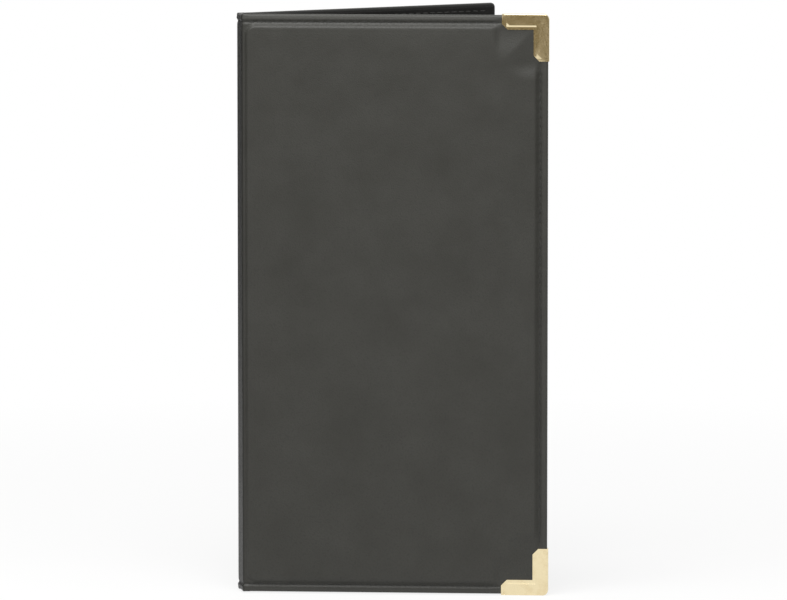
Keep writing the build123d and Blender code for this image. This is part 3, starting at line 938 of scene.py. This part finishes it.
def widePocket(side, name, node, mouth, notch):
    edge, band = pockets["edgeBand"], pockets["mouthBand"]
    if notch:
        arc = cardMiddle + notch * np.sin(np.linspace(-pi / 2, pi / 2, 41))
        us = np.concatenate([lines(liningStart, (liningStart + edge, 0.6), (arc[0], 1.2)), arc[1:-1],
                             lines(arc[-1], (liningEnd - edge, 1.2), (liningEnd, 0.6))])
        tops = mouth - np.sqrt(np.maximum(notch ** 2 - (us - cardMiddle) ** 2, 0))
    else:
        us = lines(liningStart, (liningStart + edge, 0.6), (liningEnd - edge, 1.2), (liningEnd, 0.6))
        tops = np.full(len(us), mouth)
    base = lines(-liningHalf, (-liningHalf + edge, 0.6), (mouth - band, 0.9), (mouth, 0.6))
    squeeze = np.clip((base - (mouth - band)) / band, 0, 1)
    v = base[None, :] + (tops[:, None] - mouth) * squeeze[None, :]
    u = np.repeat(us[:, None], len(base), 1)
    rows = innerRows(side)
    level = pocketFace + seamDimples(u, v, rows["pocket"] + rows["own"])
    level = level - gapeAt(u, v, mouth, liningStart, liningEnd)
    innerSheet(side, name, node, pocketCloth, u, v, level, mouthWear(tops[:, None] - v))


def cardPocket(name, node):
    inset, edge = pockets["seamInset"], 6.0
    footV = cardFoot + inset
    seams = [((cardLow + inset, footV), (cardLow + inset, cardMouth)),
             ((cardLow + inset, footV), (cardHigh - inset, footV)),
             ((cardHigh - inset, footV), (cardHigh - inset, cardMouth))]
    us = lines(cardLow, (cardLow + edge, 0.5), (cardHigh - edge, 1.2), (cardHigh, 0.5))
    vs = lines(cardFoot, (cardFoot + edge, 0.5), (cardMouth, 0.8))
    u, v = np.meshgrid(us, vs, indexing="ij")
    inside = np.minimum(np.minimum(u - cardLow, cardHigh - u), v - cardFoot) - pockets["cardMargin"]
    riseStart, riseWidth = pockets["cardRise"]
    raised = pockets["cardRoom"] * smooth((inside - riseStart) / riseWidth)
    stand = gapeAt(u, v, billMouth, liningStart, liningEnd) + 0.5 * gapeAt(u, v, cardMouth, cardLow, cardHigh)
    level = pocketFace - sheets["pocket"] - raised + seamDimples(u, v, seams) - stand
    innerSheet(front, name, node, pocketCloth, u, v, level, wear=mouthWear(cardMouth - v))
    return seams


lining(front)
lining(back)
widePocket(front, "billPocket", "front_bill_pocket", billMouth, 0)
widePocket(back, "checkPocket", "back_check_pocket", checkMouth, pockets["notch"])
cardSeams = cardPocket("cardPocket", "front_card_pocket")
print("inner sheets made")


def stitchTree():
    tree = bpy.data.node_groups.new("stitchesAlongRows", "GeometryNodeTree")
    sockets = tree.interface
    sockets.new_socket("Geometry", in_out="INPUT", socket_type="NodeSocketGeometry")
    for key in ("Pitch", "Length", "Width", "Rise"):
        socket = sockets.new_socket(key, in_out="INPUT", socket_type="NodeSocketFloat")
        socket.default_value = seam[key.lower()] * mm
    sockets.new_socket("Seed", in_out="INPUT", socket_type="NodeSocketInt").default_value = 5
    sockets.new_socket("Thread", in_out="INPUT", socket_type="NodeSocketMaterial")
    sockets.new_socket("Geometry", in_out="OUTPUT", socket_type="NodeSocketGeometry")

    given = tree.nodes.new("NodeGroupInput").outputs

    def add(kind, inputs=None, out=0, **settings):
        return addNode(tree, kind, inputs, out, **settings)

    # one stitch: a small spindle whose ends dive into the holes
    ball = add("GeometryNodeMeshUVSphere", {"Segments": 8, "Rings": 7, "Radius": 0.5}, "Mesh")
    laid = add("GeometryNodeTransform", {"Geometry": ball, "Rotation": (0, pi / 2, 0)})
    size = add("ShaderNodeCombineXYZ", {"X": given["Length"], "Y": given["Width"], "Z": given["Rise"]})
    spindle = add("GeometryNodeTransform", {"Geometry": laid, "Scale": size})
    stitch = add("GeometryNodeStoreNamedAttribute",
                 {"Geometry": spindle, "Name": "stitchPlace",
                  "Value": scaled(tree, add("GeometryNodeInputPosition"), 1 / mm)},
                 data_type="FLOAT_VECTOR", domain="POINT")

    # a point for each stitch, turned along its row and up from its sheet
    curve = add("GeometryNodeMeshToCurve", {"Mesh": given["Geometry"]})
    steps = add("GeometryNodeResampleCurve", {"Curve": curve, "Length": given["Pitch"]}, mode="LENGTH")
    upOf = add("GeometryNodeInputNamedAttribute", {"Name": "up"}, "Attribute", data_type="FLOAT_VECTOR")
    alongRow = add("FunctionNodeAlignRotationToVector", {"Vector": add("GeometryNodeInputTangent")}, axis="X")
    upright = add("FunctionNodeAlignRotationToVector", {"Rotation": alongRow, "Vector": upOf}, axis="Z",
                  pivot_axis="X")
    wobble = add("FunctionNodeRandomValue", {0: (0, 0, -0.05), 1: (0, 0, 0.05), "Seed": given["Seed"]},
                 data_type="FLOAT_VECTOR")
    turned = add("FunctionNodeRotateRotation", {"Rotation": upright, "Rotate By": wobble},
                 rotation_space="LOCAL")
    made = add("GeometryNodeInstanceOnPoints", {"Points": steps, "Instance": stitch, "Rotation": turned})

    # made real, smooth and thread
    made = add("GeometryNodeRealizeInstances", {"Geometry": made})
    made = add("GeometryNodeSetShadeSmooth", {"Geometry": made})
    made = add("GeometryNodeSetMaterial", {"Geometry": made, "Material": given["Thread"]})
    feed(tree, tree.nodes.new("NodeGroupOutput"), {"Geometry": made})
    return tree


stitching = stitchTree()
hair = 0.002  # past the last stitch of a row, so that its curve holds every pitch


# rows are (first stitch, last stitch, up) in metres; one mesh comes back for the whole body
def sew(name, body, nodes, rows):
    guide = bpy.data.meshes.new(name + "Guide")
    points = [point for start, end, up in rows for point in (start, end)]
    guide.from_pydata([tuple(point) for point in points], [(2 * k, 2 * k + 1) for k in range(len(rows))], [])
    ups = [up for start, end, up in rows for _ in range(2)]
    guide.attributes.new("up", "FLOAT_VECTOR", "POINT").data.foreach_set("vector", np.array(ups).ravel())
    path = addObject(name + "Guide", guide)
    laid = path.modifiers.new("stitches", "NODES")
    laid.node_group = stitching
    for item in stitching.interface.items_tree:
        if item.in_out == "INPUT" and item.name == "Thread":
            laid[item.identifier] = seamThread
        elif item.in_out == "INPUT" and item.name == "Pitch":
            laid[item.identifier] = seam["pitch"] * mm
    mesh = bpy.data.meshes.new_from_object(path.evaluated_get(bpy.context.evaluated_depsgraph_get()))
    bpy.data.objects.remove(path)
    mesh.name = name
    piece = addObject(name, mesh)
    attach(piece, body)
    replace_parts(piece, *nodes)
    return piece


# rows on a face of a cover at one level, as sew wants them
def coverStitchRows(side, rows, level):
    up = np.array([-sinHalf, side * cosHalf, 0]) * (1 if level > 0 else -1)
    found = []
    for start, end in rows:
        ends = stitchPlaces(start, end)[[0, -1]]
        ends[1] += (ends[1] - ends[0]) / np.linalg.norm(ends[1] - ends[0]) * hair
        world = placeOnCover(side, ends[:, 0], ends[:, 1], level)
        found.append((world[0], world[1], up))
    return found


lie = seam["sunk"] - seam["proud"]
for side in (front, back):
    inner = innerRows(side)
    sew(wordOf(side) + "Seam", bodyOf(side), [wordOf(side) + "_seam"],
        coverStitchRows(side, coverRows(side), skinFace - lie)
        + coverStitchRows(side, inner["lining"], liningFace)
        + coverStitchRows(side, inner["pocket"], pocketFace))
for side, more in ((front, coverStitchRows(front, cardSeams, pocketFace - sheets["pocket"])), (back, [])):
    sew(wordOf(side) + "PocketThreads", bodyOf(side), [wordOf(side) + "_pocket_threads"],
        coverStitchRows(side, innerRows(side)["own"], pocketFace) + more)

spineRows = []
for level, direction, reach in ((skinFace - lie * seam["overSpine"], -1, seam["pitch"] / 2),
                                (spineOver, 1, 0.9)):
    for v in (-seamV, seamV):
        ends = placeOnSpine(front, np.array([-reach, reach]), v, level)
        spineRows.append((ends[0], ends[1] - np.array([0, hair * mm, 0]), np.array([direction, 0, 0])))
sew("spineSeam", "spine", ["spine_seam"], spineRows)
print("stitches laid")

for node in ("front_board", "back_board", "spine_card"):
    mesh = frame["nodes"][node].data
    mesh.materials.clear()
    mesh.materials.append(greyBoard)


floorLook = {
    "size": 24.0,
    "colour": (0.93, 0.93, 0.925),
    "nearWhite": 0.8,  # how much of the floor's seen colour is plain white beside the object
    "nearRadius": 0.2,
    "farRadius": 0.7,  # from here on it is all white
}
studio = {
    "world": 0.5,
    "top": {"at": (-0.22, -0.42, 0.90), "size": (0.8, 0.6), "power": 8.0},
    "flags": {
        # cards that only mirrored light meets: (middle, width, height, turn in degrees, colour)
        "before": ((-0.222, -0.872, 0.19), 1.1, 0.22, -14.3, (0.235, 0.198, 0.13)),
        "left": ((-0.30, 0.70, 0.20), 1.2, 0.4, 90.0, (0.01, 0.01, 0.01)),
        "leftNear": ((-0.30, -0.02, 0.20), 0.24, 0.4, 90.0, (0.42, 0.42, 0.42)),
        "right": ((0.68, -0.55, 0.20), 1.0, 0.4, 51.0, (0.13, 0.11, 0.075)),
    },
}
view = {
    "azimuth": -14.3,
    "elevation": 6.07,
    "distance": 3.0,
    "focus": (-0.00013, -0.0207, 0.12915),
    "focalPixels": 6859.0,
    "framePixels": 787.0,
    "sensor": 36.0,
}


# 1 for the camera, glossy and transmission rays, 0 for the rest
def seenRays(tree):
    camera, glossy, through = (addNode(tree, "ShaderNodeLightPath", out="Is " + kind + " Ray")
                               for kind in ("Camera", "Glossy", "Transmission"))
    return mathNode(tree, "MAXIMUM", mathNode(tree, "MAXIMUM", camera, glossy), through)


# a stage object with one square face
def stagePlane(name, middle, across, up, material):
    mesh = bpy.data.meshes.new(name)
    corners = [middle + a * across + b * up for a, b in ((-1, -1), (1, -1), (1, 1), (-1, 1))]
    mesh.from_pydata(corners, [], [(0, 1, 2, 3)])
    mesh.materials.append(material)
    return addObject(name, mesh)


def makeFloor():
    material, tree, shader = newMaterial("paleFloor")
    tree.nodes.remove(shader)
    cloth = addNode(tree, "ShaderNodeBsdfDiffuse", {"Color": (*floorLook["colour"], 1)})
    white = addNode(tree, "ShaderNodeEmission", {"Strength": 1.0})
    place = addNode(tree, "ShaderNodeTexCoord", out="Object")
    away = addNode(tree, "ShaderNodeVectorMath", {0: place}, "Value", operation="LENGTH")
    whiteness = remap(tree, away, floorLook["nearRadius"], floorLook["farRadius"], floorLook["nearWhite"],
                      1.0)
    whiteness = mathNode(tree, "MULTIPLY", seenRays(tree), whiteness)
    mix = addNode(tree, "ShaderNodeMixShader", {0: whiteness, 1: cloth, 2: white})
    feed(tree, tree.nodes["Material Output"], {"Surface": mix})
    half = floorLook["size"] / 2
    floor = stagePlane("floor", Vector(), Vector((half, 0, 0)), Vector((0, half, 0)), material)


def makeFlag(name, middle, width, height, turned, colour):
    material, tree, shader = newMaterial(name + "Card")
    feed(tree, shader, {"Base Color": (*colour, 1), "Roughness": 1.0, "Specular IOR Level": 0.0})
    across = Vector((cos(radians(turned)), sin(radians(turned)), 0)) * width / 2
    card = stagePlane(name, Vector(middle), across, Vector((0, 0, height / 2)), material)
    card.visible_camera = card.visible_diffuse = card.visible_shadow = False


def makeLight(name, look, target):
    lamp = bpy.data.lights.new(name, "AREA")
    lamp.shape = "RECTANGLE"
    lamp.size, lamp.size_y = look["size"]
    lamp.energy = look["power"]
    light = addObject(name, lamp)
    light.location = look["at"]
    light.rotation_euler = (Vector(target) - Vector(look["at"])).to_track_quat("-Z", "Y").to_euler()


def makeWorld():
    world = bpy.data.worlds.new("studio")
    world.use_nodes = True
    scene.world = world
    tree = world.node_tree
    strength = remap(tree, seenRays(tree), 0, 1, studio["world"], 1.0)
    feed(tree, tree.nodes["Background"], {"Color": (1, 1, 1, 1), "Strength": strength})


def makeCamera():
    az, el = radians(view["azimuth"]), radians(view["elevation"])
    focus = Vector(view["focus"])
    away = Vector((sin(az) * cos(el), -cos(az) * cos(el), sin(el)))
    lens = bpy.data.cameras.new("camera")
    lens.sensor_width = view["sensor"]
    lens.lens = view["focalPixels"] / view["framePixels"] * view["sensor"]
    lens.clip_end = 50.0
    camera = addObject("camera", lens)
    camera.location = focus + away * view["distance"]
    camera.rotation_euler = (-away).to_track_quat("-Z", "Y").to_euler()
    scene.camera = camera


makeFloor()
for name, card in studio["flags"].items():
    makeFlag(name + "Flag", *card)
makeLight("topLight", studio["top"], view["focus"])
makeWorld()
makeCamera()
scene.view_settings.view_transform = "Standard"
print("stage, lights and camera set")
